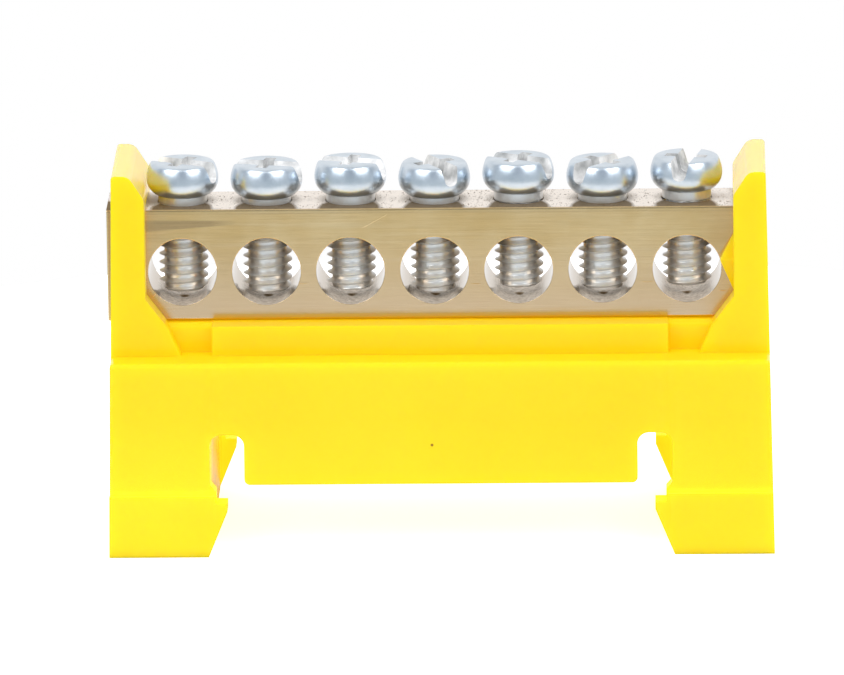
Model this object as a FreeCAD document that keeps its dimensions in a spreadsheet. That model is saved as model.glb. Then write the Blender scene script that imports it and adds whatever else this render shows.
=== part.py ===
import FreeCAD, Part
import os
import Sketcher

# Earth terminal bar: a brass bar with seven wire ways, carried by a moulded clip for a 35 mm rail.
# X runs along the bar, the wires enter from -Y, Z is up, and the origin is the middle of the feet.

document = FreeCAD.newDocument("EarthTerminalBar")

# Sizes in millimetres, angles in degrees, counts as plain numbers
DRIVING_SIZES = [
    ("rail_width", 35.0, "width of the mounting rail over its flanges"),
    ("rail_side_play", 0.16, "play beside each flange"),
    ("rail_flange_thickness", 1.0, "sheet thickness of the rail"),
    ("rail_flange_play", 0.45, "play between flange and hook"),
    ("rail_seat_height", 5.8, "face that rests on the rail, above the feet"),
    ("hook_reach", 0.87, "how far a hook grips behind the flange"),
    ("hook_nose", 0.65, "height of the upright nose of a hook"),
    ("foot_inner_slope", 0.65, "foot tip beyond the flange edge"),
    ("foot_height", 4.95, "thicker foot at each corner"),
    ("foot_proud", 0.3, "foot standing proud of the front and back"),
    ("side_draft", 0.55, "how far the outer side leans in up to the post top"),
    ("base_depth", 20.8, "base, front to back"),
    ("base_wall", 1.5, "front, back and end walls of the base"),
    ("deck_height", 15.6, "top of the base"),
    ("deck_thickness", 1.6, "top wall of the base"),
    ("cross_wall", 1.25, "wall that joins front and back behind the hooks"),
    ("middle_rib", 1.2, "rib under the middle of the deck"),
    ("slot_width", 2.7, "slot that lets a leg flex"),
    ("slot_height", 4.05, "slot above the rail seat"),
    ("slot_side_step", 0.47, "slot side behind the flange edge"),
    ("slot_step_height", 0.55, "sloping step between slot and flange edge"),
    ("slot_corner_radius", 0.9, "round top of a slot"),
    ("block_corner_radius", 0.45, "lower corner beside a slot"),
    ("edge_radius", 0.35, "moulded edges of the base"),
    ("post_above_bar", 3.2, "end posts above the brass bar"),
    ("post_depth", 10.85, "end posts, front to back"),
    ("post_setback", 2.6, "ledge in front of the posts"),
    ("post_thickness", 2.55, "end post along the bar at its top"),
    ("post_lead_width", 1.2, "sloping inner shoulder of a post, along the bar"),
    ("post_lead_height", 1.9, "sloping inner shoulder of a post, in height"),
    ("post_corner_radius", 0.3, "outer top corner of a post"),
    ("post_lead_radius", 0.9, "blend at both ends of the shoulder"),
    ("gusset_foot", 2.7, "gusset beyond the post at the deck"),
    ("gusset_knee", 1.65, "gusset beyond the post where the bar rests"),
    ("gusset_rise", 2.2, "gusset above the bar's underside"),
    ("gusset_knee_radius", 4.0, "bulge of the gusset"),
    ("seat_rise", 2.35, "raised seat under the bar, above the base"),
    ("sill_span", 5.15, "end sill, from the raised seat to the post"),
    ("sill_drop", 0.05, "end sills below the bar's underside"),
    ("sill_forward", 0.75, "end sills in front of the bar"),
    ("sill_edge", 0.3, "bevel along a sill"),
    ("nib_reach", 1.05, "retaining nib on the right post, towards the bar's middle"),
    ("nib_top", 6.8, "upper end of the nib above the seat"),
    ("nib_apex", 4.85, "ridge and point of the nib above the seat"),
    ("nib_bottom", 2.25, "lower end of the nib above the seat"),
    ("nib_forward", 0.95, "ridge of the nib in front of the bar"),
    ("nib_gap", 0.05, "play between nib and bar"),
    ("nib_lip", 0.15, "thickness of the nib at its two ends"),
    ("bar_depth", 6.0, "brass bar, front to back"),
    ("bar_height", 9.0, "brass bar height"),
    ("bar_edge_radius", 0.22, "drawn edges of the bar"),
    ("bar_from_post_front", 2.05, "post material in front of the bar"),
    ("bar_shift", -0.4, "middle of the bar beside the middle of the clip"),
    ("bar_overhang", 0.2, "bar longer than the clip is over its posts"),
    ("channel_play", 0.05, "play of the bar in the posts"),
    ("way_count", 7, "wire ways"),
    ("way_pitch", 6.6, "spacing of the wire ways"),
    ("way_diameter", 5.4, "wire hole"),
    ("way_height", 3.95, "wire hole above the bar's underside"),
    ("drill_mark", 0.25, "depth of the drill point below a wire hole"),
    ("thread_diameter", 3.9, "clamp screw shank"),
    ("thread_play", 0.04, "radial play of the shank in its bore"),
    ("screw_reach", 2.57, "screw past the middle of its way when the head meets the bar"),
    ("screw_point_diameter", 3.0, "flat end of the screw"),
    ("screw_point_height", 0.4, "bevel above the flat end"),
    ("head_diameter", 5.65, "screw head at its belly"),
    ("head_play", 0.025, "play between the first head and its post"),
    ("head_height", 2.55, "screw head"),
    ("head_top_diameter", 4.75, "flat top of the head"),
    ("head_seat_diameter", 4.2, "flat underside of the head"),
    ("belly_low", 0.95, "lower end of the head's belly"),
    ("belly_high", 1.5, "upper end of the head's belly"),
    ("belly_radius", 0.8, "blend above and below the belly"),
    ("head_edge_radius", 0.2, "edge of the flat top"),
    ("slot_mouth", 1.5, "driver slot at the top of the head"),
    ("slot_waist", 1.1, "driver slot above its trough"),
    ("slot_floor", 0.6, "driver slot at its floor"),
    ("slot_depth", 1.45, "driver slot"),
    ("slot_trough", 0.35, "height of the narrowing trough of the slot"),
    ("cross_width", 0.9, "recess across the driver slot"),
    ("cross_span", 3.4, "recess across the driver slot"),
    ("cross_depth", 1.55, "recess across the driver slot"),
]

# Sizes that follow from others
DERIVED_SIZES = [
    ("seat_height", "deck_height + seat_rise", "underside of the brass bar"),
    ("post_height", "seat_height + bar_height + post_above_bar", "top of the end posts"),
    ("way_span", "way_pitch * (way_count - 1)", "first to last way"),
    ("post_inner", "way_span / 2 + abs(bar_shift) + head_diameter / 2 + head_play", "inner side of a post"),
    ("post_outer", "post_inner + post_thickness", "outer side of a post at its top"),
    ("foot_half_width", "post_outer + side_draft", "outer side at the feet"),
    ("seat_half_width", "post_inner - sill_span", "half length of the raised seat"),
    ("bar_length", "2 * post_outer + bar_overhang", "brass bar"),
    ("screw_length", "bar_height - way_height + screw_reach", "clamp screw below its head"),
]

# How far each head stands off the bar, and how far it is turned
SCREW_STATES = [(0.6, 153.0), (0.45, 167.0), (0.65, 164.0), (0.45, 120.0), (0.75, 152.0), (0.5, 48.0), (0.8, 78.0)]


def makeSheet():
    sheet = document.addObject("Spreadsheet::Sheet", "sizes")
    rows = list(DRIVING_SIZES)
    ways = [value for alias, value, note in DRIVING_SIZES if alias == "way_count"][0]
    for number in range(1, ways + 1):
        stand, turn = SCREW_STATES[(number - 1) % len(SCREW_STATES)]
        rows.append((f"head_stand_{number}", stand, "gap under the head of this screw"))
        rows.append((f"head_turn_{number}", turn, "turn of this screw"))
    rows += [(alias, f"={formula}", note) for alias, formula, note in DERIVED_SIZES]
    for row, (alias, value, note) in enumerate(rows, 1):
        sheet.set(f"A{row}", alias)
        sheet.set(f"B{row}", str(value))
        sheet.set(f"C{row}", note)
        sheet.setAlias(f"B{row}", alias)
    document.recompute()
    return sheet


sheet = makeSheet()


def size(alias):
    return float(sheet.get(alias))


def newBody(label):
    body = document.addObject("PartDesign::Body", label)
    body.Label = label
    return body


def originFeature(body, role):
    return [feature for feature in body.Origin.OriginFeatures if feature.Role == role][0]


def newSketch(body, name, role, lift="0"):
    # lift moves the sketch along the normal of its origin plane
    sketch = body.newObject("Sketcher::SketchObject", name)
    sketch.AttachmentSupport = [(originFeature(body, role), "")]
    sketch.MapMode = "FlatFace"
    if lift != "0":
        sketch.setExpression("AttachmentOffset.Base.z", lift)
    return sketch


def pin(sketch, geometry, point, across, up):
    # ties one point of the sketch to two expressions
    for kind, expression, axis in (("DistanceX", across, -2), ("DistanceY", up, -1)):
        if expression == "0":
            sketch.addConstraint(Sketcher.Constraint("PointOnObject", geometry, point, axis))
            continue
        value = float(sketch.evalExpression(expression))
        index = sketch.addConstraint(Sketcher.Constraint(kind, -1, 1, geometry, point, value))
        sketch.setExpression(f"Constraints[{index}]", expression)


def outline(sketch, corners):
    # closed outline whose corners are pairs of expressions
    places = []
    for across, up in corners:
        places.append(FreeCAD.Vector(float(sketch.evalExpression(across)), float(sketch.evalExpression(up)), 0))
    count = len(places)
    first = len(sketch.Geometry)
    for index in range(count):
        sketch.addGeometry(Part.LineSegment(places[index], places[(index + 1) % count]), False)
    for index in range(count):
        following = first + (index + 1) % count
        sketch.addConstraint(Sketcher.Constraint("Coincident", first + index, 2, following, 1))
    for index, (across, up) in enumerate(corners):
        pin(sketch, first + index, 1, across, up)


def circle(sketch, across, up, diameter):
    radius = float(sketch.evalExpression(diameter)) / 2
    index = sketch.addGeometry(Part.Circle(FreeCAD.Vector(0, 0, 0), FreeCAD.Vector(0, 0, 1), radius), False)
    constraint = sketch.addConstraint(Sketcher.Constraint("Diameter", index, 2 * radius))
    sketch.setExpression(f"Constraints[{constraint}]", diameter)
    pin(sketch, index, 3, across, up)


def pad(body, name, sketch, length, midplane=False, reverse=False):
    feature = body.newObject("PartDesign::Pad", name)
    feature.Profile = sketch
    feature.setExpression("Length", length)
    feature.Midplane = midplane
    feature.Reversed = reverse
    document.recompute()
    return feature


def pocket(body, name, sketch, length=None, midplane=False, reverse=False):
    before = body.Shape.Volume
    feature = body.newObject("PartDesign::Pocket", name)
    feature.Profile = sketch
    feature.Midplane = midplane
    feature.Reversed = reverse
    if length is None:
        feature.Type = "ThroughAll"
    else:
        feature.setExpression("Length", length)
    document.recompute()
    if feature.Shape.Volume > before - 1e-3:
        raise RuntimeError(f"{name} removes nothing")
    return feature


def edgeNames(shape, wanted):
    # names of the edges whose middle and direction meet the test
    names = []
    for number, edge in enumerate(shape.Edges, 1):
        middle = edge.valueAt((edge.FirstParameter + edge.LastParameter) / 2)
        along = edge.Vertexes[-1].Point - edge.Vertexes[0].Point
        if wanted(middle, along, edge):
            names.append(f"Edge{number}")
    return names


def near(first, second, tolerance=0.02):
    return abs(first - second) < tolerance


def roundEdges(body, name, base, wanted, radius):
    names = edgeNames(base.Shape, wanted)
    if not names:
        raise RuntimeError(f"{name} finds no edge")
    feature = body.newObject("PartDesign::Fillet", name)
    feature.Base = (base, names)
    feature.setExpression("Radius", radius)
    document.recompute()
    return feature


# Expressions shared by several pieces
FLANGE_EDGE = "(sizes.rail_width / 2 + sizes.rail_side_play)"
HOOK_TOP = "(sizes.rail_seat_height - sizes.rail_flange_thickness - sizes.rail_flange_play)"
SLOT_OUTER = f"({FLANGE_EDGE} + sizes.slot_side_step)"
SLOT_TOP = "(sizes.rail_seat_height + sizes.slot_height)"
LEAN = "sizes.side_draft / sizes.post_height"
POST_FRONT = "(sizes.post_setback - sizes.base_depth / 2)"
BAR_FRONT = f"({POST_FRONT} + sizes.bar_from_post_front)"
POST_ROOT = "(sizes.deck_height - sizes.deck_thickness / 2)"


def outerSide(height):
    return f"(sizes.foot_half_width - {LEAN} * {height})"


def roundBase(body):
    slot_outer = size("rail_width") / 2 + size("rail_side_play") + size("slot_side_step")
    slot_inner = slot_outer - size("slot_width")
    slot_top = size("rail_seat_height") + size("slot_height")
    half_depth = size("base_depth") / 2

    def atSlotTop(middle, along, edge):
        beside = near(middle.x, slot_outer) or near(middle.x, slot_inner)
        return beside and near(middle.z, slot_top) and near(along.x, 0)

    def atBlockCorner(middle, along, edge):
        return near(middle.x, slot_inner) and near(middle.z, size("rail_seat_height")) and near(along.x, 0)

    def atDeckEdge(middle, along, edge):
        return near(abs(middle.y), half_depth) and near(middle.z, size("deck_height"))

    def atCorner(middle, along, edge):
        return near(abs(middle.y), half_depth) and middle.x > size("post_outer")

    roundEdges(body, "slot_tops", body.Tip, atSlotTop, "sizes.slot_corner_radius")
    roundEdges(body, "block_corners", body.Tip, atBlockCorner, "sizes.block_corner_radius")
    roundEdges(body, "deck_edges", body.Tip, atDeckEdge, "sizes.edge_radius")
    roundEdges(body, "upright_corners", body.Tip, atCorner, "sizes.edge_radius")


def makeBase(body):
    # front outline of one half, with the slot beside the leg and the hook under the rail flange
    sketch = newSketch(body, "base_outline", "XZ_Plane")
    hook_tip = f"({FLANGE_EDGE} - sizes.hook_reach)"
    outline(sketch, [
        ("0", "sizes.rail_seat_height"),
        (f"{SLOT_OUTER} - sizes.slot_width", "sizes.rail_seat_height"),
        (f"{SLOT_OUTER} - sizes.slot_width", SLOT_TOP),
        (SLOT_OUTER, SLOT_TOP),
        (SLOT_OUTER, "sizes.rail_seat_height"),
        (FLANGE_EDGE, "sizes.rail_seat_height - sizes.slot_step_height"),
        (FLANGE_EDGE, HOOK_TOP),
        (hook_tip, HOOK_TOP),
        (hook_tip, f"{HOOK_TOP} - sizes.hook_nose"),
        (f"{FLANGE_EDGE} + sizes.foot_inner_slope", "0"),
        ("sizes.foot_half_width", "0"),
        (outerSide("sizes.deck_height"), "sizes.deck_height"),
        ("0", "sizes.deck_height"),
    ])
    pad(body, "base", sketch, "sizes.base_depth", midplane=True)
    roundBase(body)

    sketch = newSketch(body, "foot_outline", "XZ_Plane")
    outline(sketch, [
        (FLANGE_EDGE, "sizes.foot_height"),
        (FLANGE_EDGE, HOOK_TOP),
        (hook_tip, HOOK_TOP),
        (hook_tip, f"{HOOK_TOP} - sizes.hook_nose"),
        (f"{FLANGE_EDGE} + sizes.foot_inner_slope", "0"),
        ("sizes.foot_half_width", "0"),
        (outerSide("sizes.foot_height"), "sizes.foot_height"),
    ])
    pad(body, "feet", sketch, "sizes.base_depth + 2 * sizes.foot_proud", midplane=True)


def makePosts(body):
    # end post, gusset and raised seat as one profile, drawn into the deck so that they join it
    sketch = newSketch(body, "post_outline", "XZ_Plane", f"-({POST_FRONT})")
    outline(sketch, [
        ("0", POST_ROOT),
        (outerSide(POST_ROOT), POST_ROOT),
        ("sizes.post_outer", "sizes.post_height"),
        ("sizes.post_inner + sizes.post_lead_width", "sizes.post_height"),
        ("sizes.post_inner", "sizes.post_height - sizes.post_lead_height"),
        ("sizes.post_inner", "sizes.seat_height + sizes.gusset_rise"),
        ("sizes.post_inner - sizes.gusset_knee", "sizes.seat_height"),
        ("sizes.post_inner - sizes.gusset_foot", "sizes.deck_height"),
        ("sizes.seat_half_width", "sizes.deck_height"),
        ("sizes.seat_half_width", "sizes.seat_height"),
        ("0", "sizes.seat_height"),
    ])
    pad(body, "posts", sketch, "sizes.post_depth", reverse=True)


def makeSills(body):
    # end sills under the bar, between seat and gusset
    sketch = newSketch(body, "sill_outline", "YZ_Plane")
    front = f"({BAR_FRONT} - sizes.sill_forward)"
    back = f"({POST_FRONT} + sizes.post_depth)"
    top = "(sizes.seat_height - sizes.sill_drop)"
    outline(sketch, [
        (front, POST_ROOT),
        (back, POST_ROOT),
        (back, top),
        (f"{front} + sizes.sill_edge", top),
        (front, f"{top} - sizes.sill_edge"),
    ])
    pad(body, "sills", sketch, "sizes.post_inner + sizes.post_thickness / 2")


def roundPosts(body):
    inner = size("post_inner")
    top = size("post_height")
    shoulder = inner + size("post_lead_width")
    knee = inner - size("gusset_knee")

    def atShoulder(middle, along, edge):
        upper = near(middle.x, shoulder) and near(middle.z, top)
        lower = near(middle.x, inner) and near(middle.z, top - size("post_lead_height"))
        return upper or lower

    def atOuterTop(middle, along, edge):
        return near(middle.x, size("post_outer")) and near(middle.z, top)

    def atKnee(middle, along, edge):
        return near(middle.x, knee) and near(middle.z, size("seat_height"))

    roundEdges(body, "post_shoulders", body.Tip, atShoulder, "sizes.post_lead_radius")
    roundEdges(body, "post_tops", body.Tip, atOuterTop, "sizes.post_corner_radius")
    roundEdges(body, "gusset_bulge", body.Tip, atKnee, "sizes.gusset_knee_radius")


def hollowBase(body):
    # cored from below, like a moulding: a cavity in the leg and one beside the middle rib
    sketch = newSketch(body, "cavities", "XY_Plane")
    half_depth = "(sizes.base_depth / 2 - sizes.base_wall)"
    leg_inner = f"({SLOT_OUTER} + sizes.cross_wall)"
    leg_outer = f"({outerSide('sizes.deck_height')} - sizes.base_wall)"
    spans = [(leg_inner, leg_outer), ("sizes.middle_rib / 2", SLOT_OUTER)]
    for inner, outer in spans:
        outline(sketch, [
            (inner, f"-{half_depth}"),
            (outer, f"-{half_depth}"),
            (outer, half_depth),
            (inner, half_depth),
        ])
    pocket(body, "coring", sketch, "sizes.deck_height - sizes.deck_thickness", reverse=True)


def cutChannel(body):
    # the way of the brass bar through the post and the gusset
    sketch = newSketch(body, "channel_outline", "YZ_Plane")
    front = f"({BAR_FRONT} - sizes.channel_play)"
    back = f"({BAR_FRONT} + sizes.bar_depth + sizes.channel_play)"
    top = "(sizes.seat_height + sizes.bar_height + sizes.channel_play)"
    outline(sketch, [(front, "sizes.seat_height"), (back, "sizes.seat_height"), (back, top), (front, top)])
    pocket(body, "channel", sketch, reverse=True)


def mirrorHalf(body):
    mirror = body.newObject("PartDesign::Mirrored", "both_halves")
    mirror.MirrorPlane = (originFeature(body, "YZ_Plane"), [""])
    mirror.TransformMode = "Whole shape"
    body.Tip = mirror
    document.recompute()


def makeNib(body):
    # three-cornered nib on the inner face of the right post, in front of the bar
    nib_front = f"({BAR_FRONT} - sizes.nib_forward)"
    nib_top = "(sizes.seat_height + sizes.nib_top)"
    nib_ridge = "(sizes.seat_height + sizes.nib_apex)"
    nib_bottom = "(sizes.seat_height + sizes.nib_bottom)"
    inside = "(sizes.post_inner + sizes.post_thickness / 4)"
    sketch = newSketch(body, "nib_outline", "XZ_Plane", f"-{nib_front}")
    outline(sketch, [
        (inside, nib_bottom),
        (inside, nib_top),
        ("sizes.post_inner", nib_top),
        ("sizes.post_inner - sizes.nib_reach", nib_ridge),
        ("sizes.post_inner", nib_bottom),
    ])
    pad(body, "nib", sketch, "sizes.nib_forward - sizes.nib_gap", reverse=True)

    # its front falls away above and below the ridge
    sketch = newSketch(body, "nib_slopes", "YZ_Plane", "sizes.post_inner")
    lip = f"({BAR_FRONT} - sizes.nib_gap - sizes.nib_lip)"
    for end in (nib_top, nib_bottom):
        outline(sketch, [(nib_front, nib_ridge), (lip, end), (nib_front, end)])
    pocket(body, "nib_front", sketch, "2 * sizes.nib_reach")


def makeCarrier():
    body = newBody("carrier")
    makeBase(body)
    makePosts(body)
    roundPosts(body)
    makeSills(body)
    hollowBase(body)
    cutChannel(body)
    mirrorHalf(body)
    makeNib(body)
    return body


def makeBar():
    body = newBody("brass_bar")
    sketch = newSketch(body, "section", "YZ_Plane", "sizes.bar_shift - sizes.bar_length / 2")
    back = f"({BAR_FRONT} + sizes.bar_depth)"
    top = "(sizes.seat_height + sizes.bar_height)"
    outline(sketch, [(BAR_FRONT, "sizes.seat_height"), (back, "sizes.seat_height"), (back, top), (BAR_FRONT, top)])
    drawn = pad(body, "drawn_bar", sketch, "sizes.bar_length")

    def alongBar(middle, along, edge):
        return abs(along.x) > size("bar_depth")

    roundEdges(body, "drawn_edges", drawn, alongBar, "sizes.bar_edge_radius")

    first_way = "(sizes.bar_shift - sizes.way_span / 2)"
    way_centre = "(sizes.seat_height + sizes.way_height)"
    sketch = newSketch(body, "way_circle", "XZ_Plane")
    circle(sketch, first_way, way_centre, "sizes.way_diameter")
    way = pocket(body, "wire_way", sketch, midplane=True)

    sketch = newSketch(body, "bore_circle", "XY_Plane", top)
    bore_diameter = "(sizes.thread_diameter + 2 * sizes.thread_play)"
    circle(sketch, first_way, f"{BAR_FRONT} + sizes.bar_depth / 2", bore_diameter)
    document.recompute()
    bore = body.newObject("PartDesign::Hole", "screw_bore")
    bore.Profile = sketch
    document.recompute()
    bore.setExpression("Diameter", bore_diameter)
    bore.DepthType = "Dimension"
    bore.DrillPoint = "Angled"
    bore.DrillPointAngle = 118.0
    cone = f"{bore_diameter} / 2 / tan(59 deg)"
    floor_depth = "(sizes.bar_height - sizes.way_height + sizes.way_diameter / 2)"
    bore.setExpression("Depth", f"{floor_depth} + sizes.drill_mark - {cone}")
    document.recompute()

    pattern = body.newObject("PartDesign::LinearPattern", "ways")
    pattern.Originals = [way, bore]
    pattern.Direction = (originFeature(body, "X_Axis"), [""])
    pattern.setExpression("Length", "sizes.way_span")
    pattern.setExpression("Occurrences", "sizes.way_count")
    body.Tip = pattern
    document.recompute()
    return body


def makeScrew(number):
    body = newBody(f"clamp_screw_{number}")
    shank = "(sizes.thread_diameter / 2)"
    sketch = newSketch(body, "turned_outline", "XZ_Plane")
    outline(sketch, [
        ("0", "-sizes.screw_length"),
        ("sizes.screw_point_diameter / 2", "-sizes.screw_length"),
        (shank, "-sizes.screw_length + sizes.screw_point_height"),
        (shank, "0"),
        ("sizes.head_seat_diameter / 2", "0"),
        ("sizes.head_diameter / 2", "sizes.belly_low"),
        ("sizes.head_diameter / 2", "sizes.belly_high"),
        ("sizes.head_top_diameter / 2", "sizes.head_height"),
        ("0", "sizes.head_height"),
    ])
    turned = body.newObject("PartDesign::Revolution", "turned")
    turned.Profile = sketch
    turned.ReferenceAxis = (sketch, ["V_Axis"])
    turned.Angle = 360.0
    document.recompute()

    def ringAt(diameter, heights):
        def wanted(middle, along, edge):
            if not isinstance(edge.Curve, Part.Circle):
                return False
            return near(edge.Curve.Radius, size(diameter) / 2) and any(near(middle.z, z) for z in heights)
        return wanted

    belly = ringAt("head_diameter", [size("belly_low"), size("belly_high")])
    roundEdges(body, "head_belly", body.Tip, belly, "sizes.belly_radius")
    top_edge = ringAt("head_top_diameter", [size("head_height")])
    roundEdges(body, "head_top_edge", body.Tip, top_edge, "sizes.head_edge_radius")

    # the driver slot flares towards the top and runs right across, the arm that crosses it stays inside
    sketch = newSketch(body, "slot_section", "YZ_Plane")
    bottom = "sizes.head_height - sizes.slot_depth"
    levels = [("floor", bottom), ("waist", f"{bottom} + sizes.slot_trough"), ("mouth", "sizes.head_height")]
    right_side = [(f"sizes.slot_{name} / 2", height) for name, height in levels]
    left_side = [(f"-{across}", height) for across, height in reversed(right_side)]
    outline(sketch, right_side + left_side)
    pocket(body, "driver_slot", sketch, "2 * sizes.head_diameter", midplane=True)

    sketch = newSketch(body, "recess_outline", "XY_Plane", "sizes.head_height")
    outline(sketch, [
        ("-sizes.cross_width / 2", "-sizes.cross_span / 2"),
        ("sizes.cross_width / 2", "-sizes.cross_span / 2"),
        ("sizes.cross_width / 2", "sizes.cross_span / 2"),
        ("-sizes.cross_width / 2", "sizes.cross_span / 2"),
    ])
    pocket(body, "cross_recess", sketch, "sizes.cross_depth")

    body.Placement = FreeCAD.Placement(FreeCAD.Vector(0, 0, 0), FreeCAD.Rotation(FreeCAD.Vector(0, 0, 1), 1))
    way = f"sizes.bar_shift + sizes.way_pitch * ({number - 1} - (sizes.way_count - 1) / 2)"
    body.setExpression("Placement.Base.x", way)
    body.setExpression("Placement.Base.y", f"{BAR_FRONT} + sizes.bar_depth / 2")
    body.setExpression("Placement.Base.z", f"sizes.seat_height + sizes.bar_height + sizes.head_stand_{number}")
    body.setExpression("Placement.Rotation.Angle", f"sizes.head_turn_{number}")
    document.recompute()
    return body


pieces = [makeCarrier(), makeBar()]
for number in range(1, int(size("way_count")) + 1):
    pieces.append(makeScrew(number))
document.recompute()

for item in document.Objects:
    if "Invalid" in item.State or "Error" in item.State:
        raise RuntimeError(f"{item.Label} did not build: {item.State}")
for piece in pieces:
    if piece.Shape.isNull() or not piece.Shape.isValid():
        raise RuntimeError(f"{piece.Label} has no valid shape")

os.makedirs("parts", exist_ok=True)
for piece in pieces:
    piece.Shape.exportStep(f"parts/{piece.Label}.step")
    box = piece.Shape.BoundBox
    print(piece.Label, len(piece.Shape.Solids), round(piece.Shape.Volume, 2), [
        round(value, 2) for value in (box.XMin, box.YMin, box.ZMin, box.XMax, box.YMax, box.ZMax)])
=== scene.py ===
import bpy
import bmesh
import math
from mathutils import Matrix, Vector


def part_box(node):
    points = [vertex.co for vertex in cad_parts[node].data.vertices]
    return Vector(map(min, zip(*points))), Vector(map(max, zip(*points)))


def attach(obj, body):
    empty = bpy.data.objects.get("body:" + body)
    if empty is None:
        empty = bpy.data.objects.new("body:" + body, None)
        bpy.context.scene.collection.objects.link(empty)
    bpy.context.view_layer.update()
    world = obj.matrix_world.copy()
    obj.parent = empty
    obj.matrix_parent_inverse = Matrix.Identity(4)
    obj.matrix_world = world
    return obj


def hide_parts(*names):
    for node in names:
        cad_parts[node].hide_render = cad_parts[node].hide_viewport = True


mm = 0.001
noiseRange = (0.3, 0.7)      # most of what a noise texture gives lies between

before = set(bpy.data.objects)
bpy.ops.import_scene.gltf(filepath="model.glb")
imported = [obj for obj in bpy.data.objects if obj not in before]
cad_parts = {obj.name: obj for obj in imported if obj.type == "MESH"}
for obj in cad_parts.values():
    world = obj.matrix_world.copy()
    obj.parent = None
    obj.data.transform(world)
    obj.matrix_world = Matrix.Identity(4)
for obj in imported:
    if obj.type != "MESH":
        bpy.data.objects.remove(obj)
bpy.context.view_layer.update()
print("frame loaded:", len(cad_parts), "nodes")


# Node helpers

def addNode(tree, kind, inputs=None, **settings):
    node = tree.nodes.new("ShaderNode" + kind)
    for name, value in settings.items():
        setattr(node, name, value)
    for name, value in (inputs or {}).items():
        if isinstance(value, bpy.types.NodeSocket):
            tree.links.new(value, node.inputs[name])
        else:
            node.inputs[name].default_value = value
    return node


def newFinish(name, metallic, specular=0.5):
    finish = bpy.data.materials.new(name)
    finish.use_nodes = True
    tree = finish.node_tree
    tree.nodes.clear()
    output = addNode(tree, "OutputMaterial")
    shader = addNode(tree, "BsdfPrincipled", {"Metallic": metallic, "Specular IOR Level": specular})
    tree.links.new(shader.outputs["BSDF"], output.inputs["Surface"])
    return finish, tree, shader


def feed(tree, shader, values):
    for name, value in values.items():
        tree.links.new(value, shader.inputs[name])


def objectPoints(tree, stretch=(1, 1, 1)):
    place = addNode(tree, "TexCoord").outputs["Object"]
    return addNode(tree, "Mapping", {"Vector": place, "Scale": stretch}).outputs["Vector"]


def partsOf(tree, vector):
    return addNode(tree, "SeparateXYZ", {"Vector": vector}).outputs


def facingOf(tree):
    # which way the surface faces
    return partsOf(tree, addNode(tree, "NewGeometry").outputs["Normal"])


def opennessOf(tree, reach, samples, ownWalls=False):
    # 1 in the open, less where walls are near; only the object's own walls if asked
    shade = addNode(tree, "AmbientOcclusion", {"Distance": reach}, samples=samples, only_local=ownWalls)
    return shade.outputs["AO"]


def noise(tree, points, scale, detail=3.0, roughness=0.5):
    inputs = {"Vector": points, "Scale": scale, "Detail": detail, "Roughness": roughness}
    return addNode(tree, "TexNoise", inputs).outputs["Fac"]


def remap(tree, value, fromLow, fromHigh, toLow, toHigh):
    inputs = {"Value": value, "From Min": fromLow, "From Max": fromHigh, "To Min": toLow, "To Max": toHigh}
    return addNode(tree, "MapRange", inputs).outputs["Result"]


def calc(tree, operation, first, second=0.0):
    return addNode(tree, "Math", {0: first, 1: second}, operation=operation).outputs[0]


def times(tree, first, second):
    return calc(tree, "MULTIPLY", first, second)


def larger(tree, first, second):
    return calc(tree, "MAXIMUM", first, second)


def outside(tree, mask):
    return calc(tree, "SUBTRACT", 1, mask)


def gap(tree, value, middle):
    # how far a value is from the middle, to either side
    return calc(tree, "ABSOLUTE", calc(tree, "SUBTRACT", value, middle))


def distance(tree, first, second):
    squares = [calc(tree, "POWER", side, 2) for side in (first, second)]
    return calc(tree, "SQRT", calc(tree, "ADD", *squares))


def blendValues(tree, factor, first, second):
    return addNode(tree, "Mix", {0: factor, 2: first, 3: second}).outputs[0]


def blendColours(tree, factor, first, second):
    node = addNode(tree, "Mix", data_type="RGBA")
    for socket, value in ((node.inputs[0], factor), (node.inputs[6], first), (node.inputs[7], second)):
        if isinstance(value, bpy.types.NodeSocket):
            tree.links.new(value, socket)
        else:
            socket.default_value = (*value, 1) if isinstance(value, tuple) else value
    return node.outputs[2]


def raised(tree, height, distance, under=None, strength=1.0):
    inputs = {"Height": height, "Distance": distance, "Strength": strength}
    if under:
        inputs["Normal"] = under
    return addNode(tree, "Bump", inputs).outputs["Normal"]


def softEdge(tree, radius):
    return addNode(tree, "Bevel", {"Radius": radius}, samples=6).outputs["Normal"]


# Yellow moulding

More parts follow.
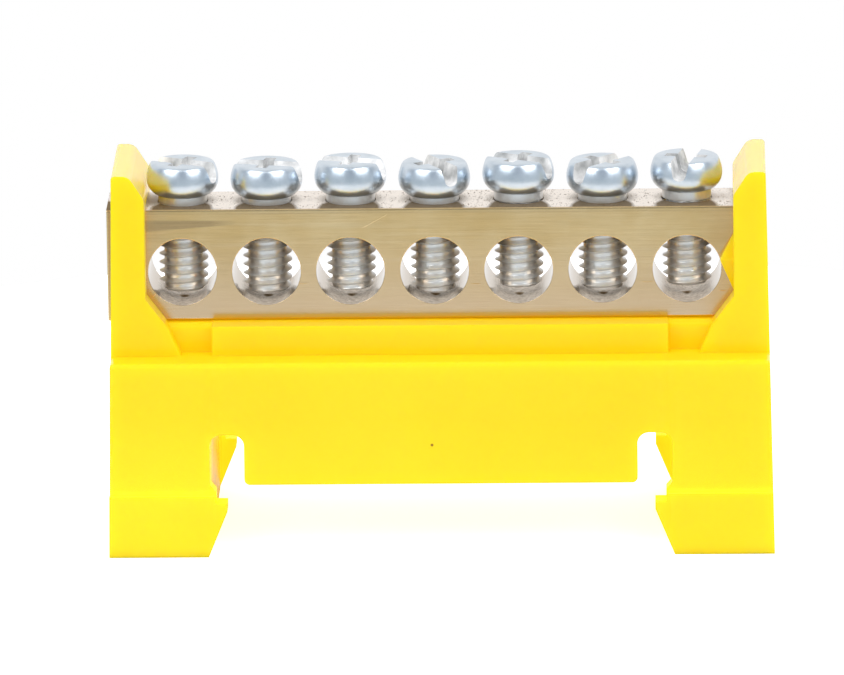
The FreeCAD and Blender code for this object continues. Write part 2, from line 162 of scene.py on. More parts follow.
moulding = {
    "colour": (0.99, 0.69, 0.020),
    "deepColour": (0.98, 0.65, 0.016),
    "cloudScale": 60,             # clouds of the deeper colour
    "roughness": (0.14, 0.24),
    "roughnessScale": 420,
    "specular": 0.12,
    "coat": 0.02,
    "coatRoughness": 0.08,
    "edgeRadius": 0.2 * mm,
    "wave": (140, 0.05 * mm, 0.5),        # uneven faces: scale, depth, strength
    "peel": (1500, 0.004 * mm, 0.6),      # the fine skin, likewise
    "sinkLine": 17.95 * mm,       # over the walls that stand behind the front face
    "sinkWidth": 0.5 * mm,
    "sinkDepth": 0.03 * mm,
    "gate": (-0.67 * mm, 8.95 * mm),      # where the runner was broken off, along the bar and up
    "gateRadius": (0.084 * mm, 0.14 * mm),
    "gateColour": (0.25, 0.12, 0.01),
    "glow": 0.75,                 # share of the light that goes into the plastic
    "glowReach": (3.2 * mm, 2.2 * mm, 0.3 * mm),
    "wallReach": 6 * mm,          # how near the walls of a hollow or a crease are
    "deckHeight": (11.5 * mm, 12.5 * mm),   # hollows are below it, creases above
    "hollowOpenness": (0.45, 0.97),
    "hollowRoughness": 0.7,
    # painted light: colour of the emission in hollows
    "paintedHollowLightColour": (1.0, 0.84, 0.02),
    "paintedHollowLight": 0.62,          # painted light: emission in place of light through the thin walls
    "creaseOpenness": (0.3, 0.9),
    # painted shade: a deeper amber in creases, where shade falls
    "paintedCreaseShadeColour": (0.98, 0.52, 0.002),
    "paintedCreaseShadeShare": 0.95,
    # painted light in creases, by emission
    "paintedCreaseLightColour": (1.0, 0.75, 0.003),
    "paintedCreaseLight": 0.24,
    "paintedFloorLight": 0.06,           # painted light: emission in place of light from the table on the lowest part
    "paintedFloorLightReach": (6 * mm, 11 * mm),
    "paintedSeatShade": 0.3,             # painted shade: the crease shade colour on the front of the raised seat
    "seatFrom": (15.5 * mm, 15.9 * mm),
    "seatTo": (18.2 * mm, 18.6 * mm),
    "seatFade": (19.5 * mm, 22.5 * mm),   # along the bar, to both sides
    # painted sheen: paler tops of the posts, where light falls from above
    "postTopPaintedSheen": (0.93, 0.69, 0.22),
    "postTopSheenFrom": (26.8 * mm, 27.3 * mm),
    "postTopSheenFacing": (0.3, 0.6),
}


def makeMoulding():
    finish, tree, shader = newFinish("glossyYellowMoulding", 0.0, moulding["specular"])
    points = objectPoints(tree)
    place = partsOf(tree, points)
    across, up = place["X"], place["Z"]
    fromMiddle = calc(tree, "ABSOLUTE", across)

    # Masks
    sink = remap(tree, gap(tree, fromMiddle, moulding["sinkLine"]), 0, moulding["sinkWidth"], 0, 1)
    gateX, gateZ = moulding["gate"]
    fromGate = distance(tree, gap(tree, across, gateX), gap(tree, up, gateZ))
    gate = remap(tree, fromGate, *moulding["gateRadius"], 1, 0)
    belowDeck = remap(tree, up, *moulding["deckHeight"], 1, 0)
    ownWalls = opennessOf(tree, moulding["wallReach"], 4, ownWalls=True)
    hollow = times(tree, remap(tree, ownWalls, *moulding["hollowOpenness"], 1, 0), belowDeck)
    allWalls = opennessOf(tree, moulding["wallReach"], 4)
    crease = times(tree, remap(tree, allWalls, *moulding["creaseOpenness"], 1, 0), outside(tree, belowDeck))
    # painted shade on the front of the raised seat, under the bar
    paintedSeatShadeMask = remap(tree, up, *moulding["seatFrom"], 0, 1)
    paintedSeatShadeMask = times(tree, paintedSeatShadeMask, remap(tree, up, *moulding["seatTo"], 1, 0))
    paintedSeatShadeMask = times(tree, paintedSeatShadeMask, remap(tree, fromMiddle, *moulding["seatFade"], moulding["paintedSeatShade"], 0))
    # painted sheen on the upward-facing post tops
    postTopSheen = remap(tree, up, *moulding["postTopSheenFrom"], 0, 1)
    postTopSheen = times(tree, postTopSheen, remap(tree, facingOf(tree)["Z"], *moulding["postTopSheenFacing"], 0, 1))

    # Colour and gloss
    clouds = remap(tree, noise(tree, points, moulding["cloudScale"], 3), *noiseRange, 0, 1)
    colour = blendColours(tree, clouds, moulding["colour"], moulding["deepColour"])
    # painted shade: deeper amber in creases and on the seat front
    paintedShade = larger(tree, paintedSeatShadeMask, times(tree, crease, moulding["paintedCreaseShadeShare"]))
    colour = blendColours(tree, paintedShade, colour, moulding["paintedCreaseShadeColour"])
    colour = blendColours(tree, postTopSheen, colour, moulding["postTopPaintedSheen"])
    colour = blendColours(tree, gate, colour, moulding["gateColour"])
    rough = noise(tree, points, moulding["roughnessScale"], 4)
    rough = remap(tree, rough, *noiseRange, *moulding["roughness"])
    rough = blendValues(tree, hollow, rough, moulding["hollowRoughness"])

    # Painted light: emission in place of light through the plastic, and a little from the table
    hollowPaintedLight = times(tree, hollow, moulding["paintedHollowLight"])
    creasePaintedLight = times(tree, crease, moulding["paintedCreaseLight"])
    floorPaintedLight = remap(tree, up, *moulding["paintedFloorLightReach"], moulding["paintedFloorLight"], 0)
    paintedLight = calc(tree, "ADD", calc(tree, "ADD", hollowPaintedLight, creasePaintedLight), floorPaintedLight)
    paintedLightColour = blendColours(tree, belowDeck, moulding["paintedCreaseLightColour"], moulding["paintedHollowLightColour"])

    normal = softEdge(tree, moulding["edgeRadius"])
    for scale, depth, strength in (moulding["wave"], moulding["peel"]):
        normal = raised(tree, noise(tree, points, scale, 2), depth, normal, strength)
    normal = raised(tree, sink, moulding["sinkDepth"], normal)
    feed(tree, shader, {"Base Color": colour, "Roughness": rough, "Normal": normal,
                        "Emission Color": paintedLightColour, "Emission Strength": paintedLight})
    shader.inputs["Subsurface Weight"].default_value = moulding["glow"]
    shader.inputs["Subsurface Radius"].default_value = moulding["glowReach"]
    shader.inputs["Subsurface Scale"].default_value = 1.0
    shader.inputs["Coat Weight"].default_value = moulding["coat"]
    shader.inputs["Coat Roughness"].default_value = moulding["coatRoughness"]
    return finish


# Drawn brass

brass = {
    "colour": (0.80, 0.60, 0.315),
    "warmColour": (0.72, 0.51, 0.23),
    "cloudScale": 260,                         # clouds of the warm colour
    "cloudRange": (0.35, 0.65),
    "topFacing": (0.6, 0.95),                  # how far the top face faces up
    "floorFacing": (0.6, 0.82),                # the same for the floor of a wire hole
    "holeFacing": (0.2, 0.6),                  # how little a wire hole faces to the front or back
    "topBand": (0.3 * mm, 0.05 * mm),          # below the top face, where its finish begins
    "endBand": (0.15 * mm, 0.05 * mm),
    "specular": 0.05,
    "roughness": (0.16, 0.26),
    "edgeRadius": 0.08 * mm,
    "lineStretch": (0.03, 1, 1),               # lines and bands run along the bar
    "lineScale": 9000,
    "lineDepth": 0.002 * mm,
    "lineStrength": 0.5,
    "bandScale": 1600,
    "bandColour": (0.88, 0.71, 0.45),
    "bandRange": (0.55, 0.75),
    "bandShare": 0.35,
    "lowColour": (0.60, 0.46, 0.30),           # towards the lower edge
    "lowReach": (25 * mm, 18.5 * mm),
    "postReflectionColour": (0.61, 0.38, 0.15),           # painted reflection of the yellow posts, beside them
    "postReflectionReach": (20.6 * mm, 24.4 * mm),
    "postReflectionShare": 0.95,
    "postReflectionClouds": (0.3, 0.6, 0.6, 1),           # clouds from, to, and what they leave, least and most
    "sawnColour": (0.84, 0.64, 0.34),          # end faces
    "edgeLine": 0.36 * mm,                     # dark line below the upper edge
    "edgeLineWidth": 0.11 * mm,
    "edgeLineShare": 0.4,
    "edgeLineBands": (0.35, 0.6, 0.3, 1),
    "smudge": (-24.2, 25.58, 8.4, 2, 0.6),     # along the bar, up, length, angle, half width
    "smudgeClouds": (0.25, 0.55, 0.6, 1),
    "smudgeColour": (0.52, 0.37, 0.185),
    "scratchDepth": 0.01 * mm,
    "topColour": (0.86, 0.77, 0.68),
    "topRoughness": (0.07, 0.13),
    "dullRoughness": 0.55,                     # where the top is dirty
    "speckSize": 0.12 * mm,
    "speckStretch": (1, 0.3, 1),
    "speckRange": (0.59, 0.65),
    "speckShare": 0.9,
    "patchScale": 700,                         # the specks stand in patches
    "patchRange": (0.4, 0.52),
    "speckColour": (0.30, 0.22, 0.15),
    "headReflectionShadeColour": (0.13, 0.085, 0.035),       # painted reflection of each head and painted shade, round each screw and from it to the front edge
    "headReflectionReach": (2.45 * mm, 3.3 * mm),       # along the bar and inwards
    "headReflectionEdge": (-0.2 * mm, 0.12 * mm),       # where it fades out
    "headReflectionWaver": (-0.12 * mm, 0.12 * mm),
    "headReflectionShare": 0.92,
    # painted shade where the head stands close over the top
    "contactShadeReach": 1.5 * mm,
    "contactShadeOpenness": (0.3, 0.62),
    "contactShadeShare": 0.7,
    "sideOfHole": (0.52, 0.43, 0.33),
    "floorOfHole": (0.56, 0.48, 0.39),
    "gritScale": 3200,
    "paleGrit": (0.86, 0.78, 0.68),
    "floorSpeckRange": (0.62, 0.68),
    "floorSpeckShare": 0.45,
    "holeRoughness": (0.06, 0.42),             # side and floor
    "dullFloor": 0.5,                          # share of the floor's shine that is lost
}

# Marks on the brass front, in millimetres: along the bar, up, length, angle, half width
scratchMarks = (
    (-6.05, 25.36, 2.3, 29, 0.03),
    (-11.3, 20.91, 1.0, 0, 0.03),
    (2.37, 20.81, 0.9, -2, 0.025),
    (15.71, 20.87, 1.1, 0, 0.03),
    (21.9, 20.13, 0.5, -4, 0.035),
    (-22.55, 19.89, 0.4, 50, 0.03),
)


def pointsOfMark(tree, points, across, up, angle):
    # X runs along the mark from its start
    inputs = {"Vector": points, "Location": (across * mm, 0, up * mm),
              "Rotation": (0, -math.radians(angle), 0)}
    return partsOf(tree, addNode(tree, "Mapping", inputs, vector_type="TEXTURE").outputs["Vector"])


def streak(tree, points, mark):
    # 1 on the middle of a straight mark, 0 beside it and beyond its ends
    across, up, length, angle, halfWidth = mark
    part = pointsOfMark(tree, points, across, up, angle)
    beside = remap(tree, calc(tree, "ABSOLUTE", part["Z"]), 0, halfWidth * mm, 1, 0)
    fromMiddle = gap(tree, part["X"], length / 2 * mm)
    return times(tree, beside, remap(tree, fromMiddle, length * 0.35 * mm, length * 0.5 * mm, 1, 0))


def thumbMark(tree, points, mark):
    # a soft patch that narrows along its length
    across, up, length, angle, halfWidth = mark
    part = pointsOfMark(tree, points, across, up, angle)
    width = remap(tree, part["X"], 0, length * mm, halfWidth * mm, halfWidth * 0.3 * mm)
    share = calc(tree, "DIVIDE", calc(tree, "ABSOLUTE", part["Z"]), width)
    begin = remap(tree, part["X"], 0, 0.5 * mm, 0, 1)
    end = remap(tree, part["X"], length * 0.75 * mm, length * mm, 1, 0)
    return times(tree, remap(tree, share, 0.65, 1, 1, 0), times(tree, begin, end))


def scratches(tree, points):
    total = streak(tree, points, scratchMarks[0])
    for mark in scratchMarks[1:]:
        total = calc(tree, "ADD", total, streak(tree, points, mark))
    return total


def headReflectionMask(tree, place, clouds):
    # painted reflection of the head: an arch in front of each screw, on the top of the bar, with a wavering
    # edge
    first, second = (sum(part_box(f"clamp_screw_{number}"), Vector()) / 2 for number in (1, 2))
    wide, deep = brass["headReflectionReach"]
    fromFirst = calc(tree, "SUBTRACT", place["X"], first.x)
    toScrew = calc(tree, "PINGPONG", fromFirst, (second.x - first.x) / 2)
    fromFront = calc(tree, "SUBTRACT", place["Y"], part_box("brass_bar")[0].y)
    radial = distance(tree, toScrew, times(tree, fromFront, wide / deep))
    radial = calc(tree, "ADD", radial, remap(tree, clouds, *noiseRange, *brass["headReflectionWaver"]))
    inner, outer = brass["headReflectionEdge"]
    return remap(tree, radial, wide + inner, wide + outer, brass["headReflectionShare"], 0)


def makeBrass():
    finish, tree, shader = newFinish("drawnBrass", 1.0, brass["specular"])
    points = objectPoints(tree)
    along = objectPoints(tree, brass["lineStretch"])
    lines = noise(tree, along, brass["lineScale"], 4, 0.6)
    bands = noise(tree, along, brass["bandScale"], 3)
    clouds = noise(tree, points, brass["cloudScale"], 4)
    specks = noise(tree, objectPoints(tree, brass["speckStretch"]), 1 / brass["speckSize"], 2)
    place = partsOf(tree, points)
    facing = facingOf(tree)

    # Masks: top face, end faces, wire holes
    low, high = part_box("brass_bar")
    middle = (low.x + high.x) / 2
    above = remap(tree, place["Z"], *(high.z - below for below in brass["topBand"]), 0, 1)
    top = times(tree, remap(tree, facing["Z"], *brass["topFacing"], 0, 1), above)
    fromMiddle = gap(tree, place["X"], middle)
    endFace = remap(tree, fromMiddle, *(high.x - middle - within for within in brass["endBand"]), 0, 1)
    sideways = remap(tree, calc(tree, "ABSOLUTE", facing["Y"]), *brass["holeFacing"], 1, 0)
    inHole = times(tree, times(tree, sideways, outside(tree, above)), outside(tree, endFace))
    onFloor = remap(tree, facing["Z"], *brass["floorFacing"], 0, 1)

    # Front: warm clouds, pale bands, a painted reflection of the yellow posts at the ends, the smudge and
    # the line below the upper edge
    warm = remap(tree, clouds, *brass["cloudRange"], 0, 1)
    side = blendColours(tree, warm, brass["colour"], brass["warmColour"])
    banded = remap(tree, bands, *brass["bandRange"], 0, brass["bandShare"])
    side = blendColours(tree, banded, side, brass["bandColour"])
    side = blendColours(tree, remap(tree, place["Z"], *brass["lowReach"], 0, 1), side, brass["lowColour"])
    # painted reflection of the yellow posts near the ends
    postReflection = remap(tree, fromMiddle, *brass["postReflectionReach"], 0, brass["postReflectionShare"])
    postReflection = times(tree, postReflection, remap(tree, clouds, *brass["postReflectionClouds"]))
    side = blendColours(tree, postReflection, side, brass["postReflectionColour"])
    smudge = thumbMark(tree, points, brass["smudge"])
    smudge = times(tree, smudge, remap(tree, clouds, *brass["smudgeClouds"]))
    side = blendColours(tree, smudge, side, brass["smudgeColour"])
    fromLine = gap(tree, place["Z"], high.z - brass["edgeLine"])
    edgeLine = remap(tree, fromLine, 0, brass["edgeLineWidth"], brass["edgeLineShare"], 0)
    edgeLine = times(tree, edgeLine, remap(tree, bands, *brass["edgeLineBands"]))
    side = blendColours(tree, edgeLine, side, brass["smudgeColour"])
    side = blendColours(tree, endFace, side, brass["sawnColour"])

    # Top: specks of tarnish in patches, a painted reflection of the head before each screw and a dull ring
    # of painted shade round it
    patches = remap(tree, noise(tree, points, brass["patchScale"], 2), *brass["patchRange"], 0, 1)
    speckled = times(tree, remap(tree, specks, *brass["speckRange"], 0, brass["speckShare"]), patches)
    upper = blendColours(tree, speckled, brass["topColour"], brass["speckColour"])
    # painted shade under and round each head
    openness = opennessOf(tree, brass["contactShadeReach"], 6)
    paintedHeadShade = remap(tree, openness, *brass["contactShadeOpenness"], brass["contactShadeShare"], 0)
    paintedHeadShade = larger(tree, headReflectionMask(tree, place, clouds), paintedHeadShade)
    upper = blendColours(tree, paintedHeadShade, upper, brass["headReflectionShadeColour"])

    # Wire holes: smooth drilled sides, a dull speckled floor
    grit = remap(tree, noise(tree, points, brass["gritScale"], 3), *brass["cloudRange"], 0, 1)
    floor = blendColours(tree, grit, brass["floorOfHole"], brass["paleGrit"])
    floorSpecks = remap(tree, specks, *brass["floorSpeckRange"], 0, brass["floorSpeckShare"])
    floor = blendColours(tree, floorSpecks, floor, brass["speckColour"])
    hole = blendColours(tree, onFloor, brass["sideOfHole"], floor)

    colour = blendColours(tree, top, blendColours(tree, inHole, side, hole), upper)
    dull = times(tree, top, larger(tree, speckled, paintedHeadShade))
    dull = larger(tree, dull, times(tree, times(tree, inHole, onFloor), brass["dullFloor"]))
    rough = remap(tree, lines, *noiseRange, *brass["roughness"])
    rough = blendValues(tree, top, rough, remap(tree, clouds, *noiseRange, *brass["topRoughness"]))
    rough = blendValues(tree, dull, rough, brass["dullRoughness"])
    rough = blendValues(tree, inHole, rough, remap(tree, onFloor, 0, 1, *brass["holeRoughness"]))

    normal = softEdge(tree, brass["edgeRadius"])
    normal = raised(tree, lines, brass["lineDepth"], normal, brass["lineStrength"])
    normal = raised(tree, scratches(tree, points), brass["scratchDepth"], normal)
    feed(tree, shader, {"Base Color": colour, "Metallic": remap(tree, dull, 0, 1, 1, 0),
                        "Roughness": rough, "Normal": normal})
    return finish


# Zinc of the screws, in the order of their material slots

zincClouds = {"scale": 700, "range": (0.35, 0.7)}
zincWave = {"scale": 420, "depth": 0.03 * mm, "strength": 0.25}
zinc = {
    "brightZinc": {                            # outside of the head
        "colour": (0.67, 0.735, 0.80),
        "dullColour": (0.55, 0.62, 0.685),
        "roughness": (0.285, 0.32),
        "grainScale": 5200,
        "grainDepth": 0.002 * mm,
        "metallic": 1.0,
    },
    "stampedZinc": {                           # recesses
        "colour": (1.0, 1.0, 1.0),
        "dullColour": (0.40, 0.41, 0.41),
        "roughness": (0.4, 0.55),
        "grainScale": 2600,
        "grainDepth": 0.04 * mm,
        "metallic": 0.5,
    },
    "rolledZinc": {                            # shank
        "colour": (0.78, 0.80, 0.81),
        "dullColour": (0.66, 0.63, 0.58),
        "roughness": (0.285, 0.33),
        "grainScale": 900,
        "grainDepth": 0.001 * mm,
        "metallic": 0.7,
    },
}
brightSlot, stampedSlot, rolledSlot = range(len(zinc))


def makeZinc(name, look):
    finish, tree, shader = newFinish(name, look["metallic"])
    points = objectPoints(tree)
    clouds = remap(tree, noise(tree, points, zincClouds["scale"], 4), *zincClouds["range"], 0, 1)
    grain = noise(tree, points, look["grainScale"], 3)
    wave = noise(tree, points, zincWave["scale"], 2)
    colour = blendColours(tree, clouds, look["colour"], look["dullColour"])
    rough = remap(tree, grain, *noiseRange, *look["roughness"])
    normal = raised(tree, wave, zincWave["depth"], None, zincWave["strength"])
    normal = raised(tree, grain, look["grainDepth"], normal, zincWave["strength"])
    feed(tree, shader, {"Base Color": colour, "Roughness": rough, "Normal": normal})
    return finish


mouldingFinish = makeMoulding()
brassFinish = makeBrass()
zincFinishes = [makeZinc(name, look) for name, look in zinc.items()]
print("finishes made")


def dress(nodeName, finish):
    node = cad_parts[nodeName]
    if not node.material_slots:
        node.data.materials.append(finish)
    for slot in node.material_slots:
        slot.material = finish


dress("carrier", mouldingFinish)
dress("brass_bar", brassFinish)
print("carrier and bar dressed")


# Clamp screws: a barrel head with slot and cross arm, and a rolled M4 thread; in millimetres

clampScrew = {
    "turns": (153, 167, 164, 120, 152, 48, 78),      # of the driver slot, in degrees
    "threadStarts": (0.0, 0.1, 0.35, 0.5, 0.2, 0.7, 0.9),   # in turns
    "pitch": 0.7,
    "crestRadius": 1.93,
    "rootRadius": 1.53,
    "crestShare": 0.34,      # of the pitch, from the middle of a ridge to its foot
    "crestSlope": 1.3,       # above 1 is a hollow flank
    "neckRadius": 1.93,
    "neckHeight": 0.95,
    "neckFade": 0.25,
    "neckInHead": 0.05,
    "tipRadius": 1.5,
    "tipBevel": 0.4,
    "spareTurns": 3,         # rows past the tip and the neck, half at each
    "headHeight": 2.55,
    "headProfile": (         # radius and height, from the axis above to the axis below
        (0.0, 2.55), (1.0, 2.55), (2.1, 2.55), (2.3, 2.548), (2.42, 2.53), (2.5, 2.47), (2.56, 2.38),
        (2.62, 2.25), (2.7, 2.0), (2.77, 1.75), (2.82, 1.45), (2.825, 1.2), (2.8, 0.95), (2.74, 0.72),
        (2.62, 0.5), (2.46, 0.3), (2.28, 0.13), (2.1, 0.03), (1.95, 0.0), (1.2, 0.0), (0.0, 0.0),
    ),
    "slotMouth": 1.56,
    "slotWaist": 1.08,
    "slotDepth": 1.45,
    "slotSpan": 8.0,         # through the whole head
    "slotTrough": 0.42,      # height of the round floor
    "troughShare": 0.98,     # its width, as a share of the waist
    "armWidth": 0.88,
    "armSpan": 3.4,
    "armDepth": 1.55,
    "armSlope": 0.25,        # at each end, from mouth to floor
    "cutterRise": 0.4,       # how far the cutters stand out of the head
    "edgeRound": 0.07,
    "edgeAngle": 40,         # degrees, above which an edge is rounded
    "sharpAngle": 38,        # degrees, above which shading is sharp
    "recessMargin": (0.06, 0.05),   # a recess begins this far inside and below the outer form
    "weldDistance": 0.0005,
}


def newPiece(name, data):
    piece = bpy.data.objects.new(name, data)
    bpy.context.scene.collection.objects.link(piece)
    return piece


def meshFrom(name, points, faces):
    mesh = bpy.data.meshes.new(name)
    mesh.from_pydata(points, [], faces)
    mesh.update()
    return mesh


def turnedMesh(name, profile, steps=96):
    points = [(0, 0, profile[0][1])]
    for radius, height in profile[1:-1]:
        for step in range(steps):
            angle = math.tau * step / steps
            points.append((radius * math.cos(angle), radius * math.sin(angle), height))
    points.append((0, 0, profile[-1][1]))
    last, rings = len(points) - 1, len(profile) - 2
    lowest = 1 + (rings - 1) * steps
    faces = []
    for step in range(steps):
        following = (step + 1) % steps
        faces.append((0, 1 + step, 1 + following))
        faces.append((last, lowest + following, lowest + step))
        for ring in range(rings - 1):
            upper, lower = 1 + ring * steps, 1 + (ring + 1) * steps
            faces.append((upper + step, lower + step, lower + following, upper + following))
    return meshFrom(name, points, faces)


def prismMesh(name, section, span):
    # section in Y and Z, drawn out along X
    points = [(side * span / 2, y, z) for side in (-1, 1) for y, z in section]
    count = len(section)
    faces = [tuple(reversed(range(count))), tuple(range(count, 2 * count))]
    for index in range(count):
        following = (index + 1) % count
        faces.append((index, following, count + following, count + index))
    mesh = meshFrom(name, points, faces)
    work = bmesh.new()
    work.from_mesh(mesh)
    bmesh.ops.recalc_face_normals(work, faces=work.faces)
    work.to_mesh(mesh)
    work.free()
    return mesh


def slotSection(size, steps=8):
    # flared sides and a round floor
    top, floor = size["headHeight"] + size["cutterRise"], size["headHeight"] - size["slotDepth"]
    waist = size["slotWaist"] / 2
    flare = (size["slotMouth"] / 2 - waist) * (size["slotDepth"] + size["cutterRise"]) / size["slotDepth"]
    section = [(-waist - flare, top)]
    for step in range(steps + 1):
        angle = math.pi * step / steps
        across = -waist * math.cos(angle) * size["troughShare"]
        section.append((across, floor + size["slotTrough"] * (1 - math.sin(angle))))
    section.append((waist + flare, top))
    return section


def armSection(size):
    top, floor = size["headHeight"] + size["cutterRise"], size["headHeight"] - size["armDepth"]
    mouth = size["armSpan"] / 2
    inner = mouth - size["armSlope"]
    return [(-mouth, top), (-inner, floor), (inner, floor), (mouth, top)]


def cutAway(piece, cutters):
    for cutter in cutters:
        change = piece.modifiers.new("cut", "BOOLEAN")
        change.operation, change.solver, change.object = "DIFFERENCE", "EXACT", cutter
    rounding = piece.modifiers.new("rounding", "BEVEL")
    rounding.width, rounding.segments = clampScrew["edgeRound"], 2
    rounding.limit_method, rounding.angle_limit = "ANGLE", math.radians(clampScrew["edgeAngle"])
    bpy.context.view_layer.update()
    evaluated = piece.evaluated_get(bpy.context.evaluated_depsgraph_get())
    result = bpy.data.meshes.new_from_object(evaluated)
    for used in (*cutters, piece):
        bpy.data.objects.remove(used)
    return result


def outerRadius(height):
    profile = clampScrew["headProfile"]
    for (outer, above), (inner, below) in zip(profile[1:], profile[2:]):
        if below <= height <= above and above > below:
            return inner + (outer - inner) * (height - below) / (above - below)
    return 0.0


def makeHead():
    size = clampScrew
    blank = newPiece("headBlank", turnedMesh("headBlank", size["headProfile"]))
    slotCutter = newPiece("slotCutter", prismMesh("slotCutter", slotSection(size), size["slotSpan"]))
    armCutter = newPiece("armCutter", prismMesh("armCutter", armSection(size), size["armWidth"]))
    mesh = cutAway(blank, [slotCutter, armCutter])
    inwards, downwards = size["recessMargin"]
    for face in mesh.polygons:
        middle = face.center
        inside = middle.xy.length < outerRadius(middle.z) - inwards
        inRecess = inside and middle.z < size["headHeight"] - downwards
        face.material_index = stampedSlot if inRecess else brightSlot
    return mesh


def threadRadius(phase):
    # phase 0 is the middle of the crest, 0.5 the middle of the root
    size = clampScrew
    away = abs((phase + 0.5) % 1.0 - 0.5)
    rise = max(0.0, 1 - away / size["crestShare"]) ** size["crestSlope"]
    return size["rootRadius"] + (size["crestRadius"] - size["rootRadius"]) * rise


def shankPoint(length, turn, row):
    # rows are in turns; a point past the tip or the neck is brought back to it
    size = clampScrew
    height = -length + size["pitch"] * (row + turn - size["spareTurns"] / 2)
    height = min(size["neckInHead"], max(-length, height))
    aboveTip = height + length
    bevel = size["tipRadius"] + aboveTip * (size["crestRadius"] - size["tipRadius"]) / size["tipBevel"]
    radius = min(threadRadius(row), bevel)
    neck = min(1.0, max(0.0, (height + size["neckHeight"]) / size["neckFade"]))
    return radius + (size["neckRadius"] - radius) * neck, height


def makeShank(length, start, steps=72, rowsPerTurn=16):
    # rows of points follow the helix, so that crests are smooth
    rows = int((length / clampScrew["pitch"] + clampScrew["spareTurns"]) * rowsPerTurn)
    points = []
    for row in range(rows):
        for step in range(steps):
            radius, height = shankPoint(length, step / steps, row / rowsPerTurn)
            angle = math.tau * step / steps + math.tau * start
            points.append((radius * math.cos(angle), radius * math.sin(angle), height))
    turnHigher = rowsPerTurn * steps     # the last column meets the first one, a turn higher
    faces = []
    for row in range(rows - rowsPerTurn - 1):
        lower, upper = row * steps, (row + 1) * steps
        for step in range(steps - 1):
            faces.append((lower + step, lower + step + 1, upper + step + 1, upper + step))
        faces.append((upper - 1, lower + turnHigher, upper + turnHigher, upper + steps - 1))
    points.append((0, 0, -length))
    centre = len(points) - 1
    for step in range(steps):
        faces.append((centre, (step + 1) % steps, step))
    return meshFrom("shank", points, faces)


def makeScrew(number, head):
    size = clampScrew
    node = f"clamp_screw_{number}"
    low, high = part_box(node)
    middle = (low + high) / 2
    length = (high.z - low.z) / mm - size["headHeight"]
    turn = Matrix.Rotation(math.radians(size["turns"][number - 1]), 3, "Z")
    whole = bmesh.new()
    whole.from_mesh(head)
    bmesh.ops.rotate(whole, verts=whole.verts, matrix=turn)
    headFaces = len(whole.faces)
    whole.from_mesh(makeShank(length, size["threadStarts"][number - 1]))
    whole.faces.ensure_lookup_table()
    for face in whole.faces[headFaces:]:
        face.material_index = rolledSlot
    bmesh.ops.remove_doubles(whole, verts=whole.verts, dist=size["weldDistance"])
    bmesh.ops.scale(whole, verts=whole.verts, vec=(mm, mm, mm))
    underHead = high.z - size["headHeight"] * mm
    bmesh.ops.translate(whole, verts=whole.verts, vec=(middle.x, middle.y, underHead))
    mesh = bpy.data.meshes.new(f"screw{number}")
    whole.to_mesh(mesh)
    whole.free()
    for finish in zincFinishes:
        mesh.materials.append(finish)
    mesh.shade_smooth()
    mesh.set_sharp_from_angle(angle=math.radians(size["sharpAngle"]))
    screw = newPiece(f"threadedScrew{number}", mesh)
    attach(screw, f"screw_{number}")
    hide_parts(node)


headMesh = makeHead()
for number in range(1, len(clampScrew["turns"]) + 1):
    makeScrew(number, headMesh)
print("screws made:", len(headMesh.polygons), "faces a head")


# Studio

studio = {
    "floorRadius": 0.085,
    "floorDrop": 0.02 * mm,            # below the feet
    "floorColour": (0.9, 0.9, 0.9),
    "floorRoughness": 0.9,
    "floorSpecular": 0.2,
    "floorGlow": 0.8,
    "floorShine": 0.1,                 # what the metal sees of that glow
    "horizon": (0.60, 0.66, 0.70),     # the room before the object
    "middle": (0.26, 0.31, 0.38),
    "overhead": (0.62, 0.63, 0.64),
    "horizonReach": (0.1, 0.45),       # heights on a sphere of radius 1
    "overheadReach": (0.72, 0.9),
    "behindReach": (-0.1, 0.25),
    "behindShare": 0.8,
    "background": (1.0, 1.0, 1.0),
    "worldStrength": 1.0,
    "backLight": 0.3,
    "softboxDistance": 0.8,
    "softboxes": (                     # turn and lift in degrees, side in metres, watts
        ("leftSoftbox", -44, 41, 0.5, 3.1),
        ("rightSoftbox", 44, 41, 0.5, 3.1),
    ),
}

viewpoint = {
    "turn": 1.388,                     # degrees
    "lift": 14.661,
    "roll": -0.757,
    "away": 0.9,
    "aim": (-1.612 * mm, 0.6 * mm, 14.788 * mm),
    "lens": 484.85,
    "sensorWidth": 36,
    "clip": (0.05, 20),
}


def makeFloor(steps=128):
    points = [(0, 0, 0)]
    for step in range(steps):
        angle = math.tau * step / steps
        points.append((studio["floorRadius"] * math.cos(angle), studio["floorRadius"] * math.sin(angle), 0))
    faces = [(0, 1 + step, 1 + (step + 1) % steps) for step in range(steps)]
    floor = newPiece("floor", meshFrom("floor", points, faces))
    floor.location.z = -studio["floorDrop"]
    finish, tree, shader = newFinish("whiteTable", 0.0, studio["floorSpecular"])
    shader.inputs["Base Color"].default_value = (*studio["floorColour"], 1)
    shader.inputs["Roughness"].default_value = studio["floorRoughness"]
    shader.inputs["Emission Color"].default_value = (1, 1, 1, 1)
    rays = addNode(tree, "LightPath").outputs
    seen = larger(tree, rays["Is Camera Ray"], rays["Is Transmission Ray"])
    glow = times(tree, seen, studio["floorGlow"])
    shine = times(tree, rays["Is Glossy Ray"], studio["floorShine"])
    feed(tree, shader, {"Emission Strength": calc(tree, "ADD", glow, shine)})
    floor.data.materials.append(finish)


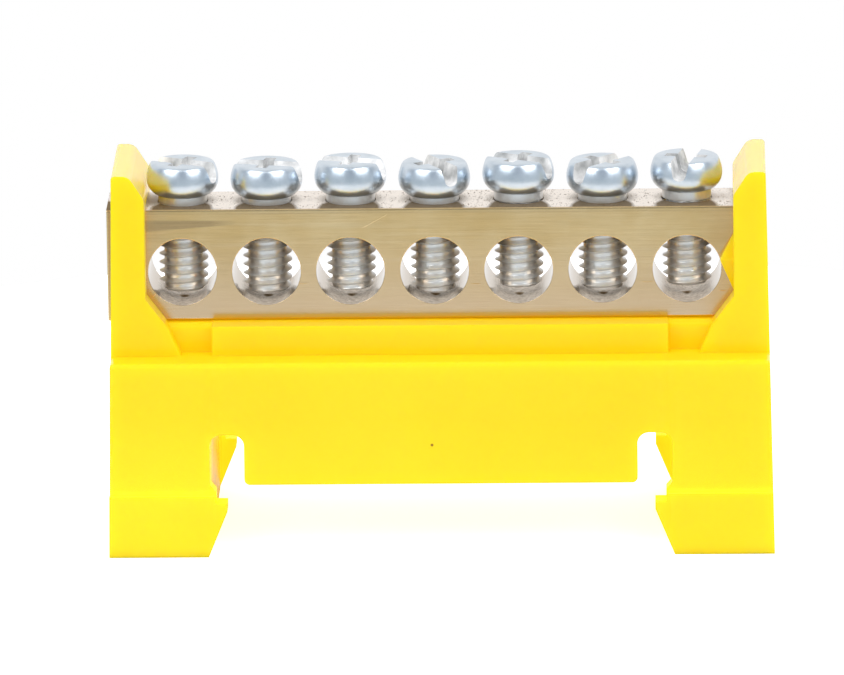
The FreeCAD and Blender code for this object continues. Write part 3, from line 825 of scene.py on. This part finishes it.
def makeWorld():
    world = bpy.data.worlds.new("studio")
    bpy.context.scene.world = world
    world.use_nodes = True
    tree = world.node_tree
    tree.nodes.clear()
    output = addNode(tree, "OutputWorld")
    towards = partsOf(tree, addNode(tree, "TexCoord").outputs["Generated"])
    rays = addNode(tree, "LightPath").outputs
    behind = remap(tree, towards["Y"], *studio["behindReach"], 0, 1)
    low = remap(tree, towards["Z"], *studio["horizonReach"], 1, 0)
    high = remap(tree, towards["Z"], *studio["overheadReach"], 0, 1)

    # Only the metal sees the cool walls; all else gets the same light in grey
    front = blendColours(tree, low, studio["middle"], studio["horizon"])
    bright = larger(tree, times(tree, behind, studio["behindShare"]), high)
    room = blendColours(tree, bright, front, studio["overhead"])
    grey = addNode(tree, "RGBToBW", {"Color": room}).outputs[0]
    grey = calc(tree, "ADD", grey, times(tree, behind, studio["backLight"]))
    room = blendColours(tree, rays["Is Glossy Ray"], grey, room)
    lit = addNode(tree, "Background", {"Color": room, "Strength": studio["worldStrength"]})

    # White background, which the metal mirrors too where it looks backwards
    plain = addNode(tree, "Background", {"Color": (*studio["background"], 1), "Strength": 1.0})
    mirrored = times(tree, rays["Is Glossy Ray"], behind)
    seen = larger(tree, rays["Is Camera Ray"], larger(tree, rays["Is Transmission Ray"], mirrored))
    mix = addNode(tree, "MixShader", {0: seen, 1: lit.outputs[0], 2: plain.outputs[0]})
    tree.links.new(mix.outputs[0], output.inputs["Surface"])


def makeSoftboxes():
    for name, turn, lift, side, power in studio["softboxes"]:
        lamp = bpy.data.lights.new(name, "AREA")
        lamp.shape, lamp.size, lamp.energy = "SQUARE", side, power
        box = newPiece(name, lamp)
        turn, lift = math.radians(turn), math.radians(lift)
        away = Vector((math.sin(turn) * math.cos(lift), -math.cos(turn) * math.cos(lift), math.sin(lift)))
        box.location = away * studio["softboxDistance"]
        box.rotation_euler = away.to_track_quat("Z", "Y").to_euler()
        box.visible_camera = False


def placeCamera():
    camera = bpy.data.cameras.new("camera")
    camera.lens, camera.sensor_width = viewpoint["lens"], viewpoint["sensorWidth"]
    camera.clip_start, camera.clip_end = viewpoint["clip"]
    holder = newPiece("camera", camera)
    turn, lift, roll = (math.radians(viewpoint[part]) for part in ("turn", "lift", "roll"))
    aim = Matrix.Translation(Vector(viewpoint["aim"]))
    facing = Matrix.Rotation(turn, 4, "Z") @ Matrix.Rotation(math.pi / 2 - lift, 4, "X")
    facing = facing @ Matrix.Rotation(roll, 4, "Z")
    holder.matrix_world = aim @ facing @ Matrix.Translation((0, 0, viewpoint["away"]))
    bpy.context.scene.camera = holder


makeFloor()
makeWorld()
makeSoftboxes()
placeCamera()
bpy.context.scene.view_settings.view_transform = "Standard"
print("studio set")
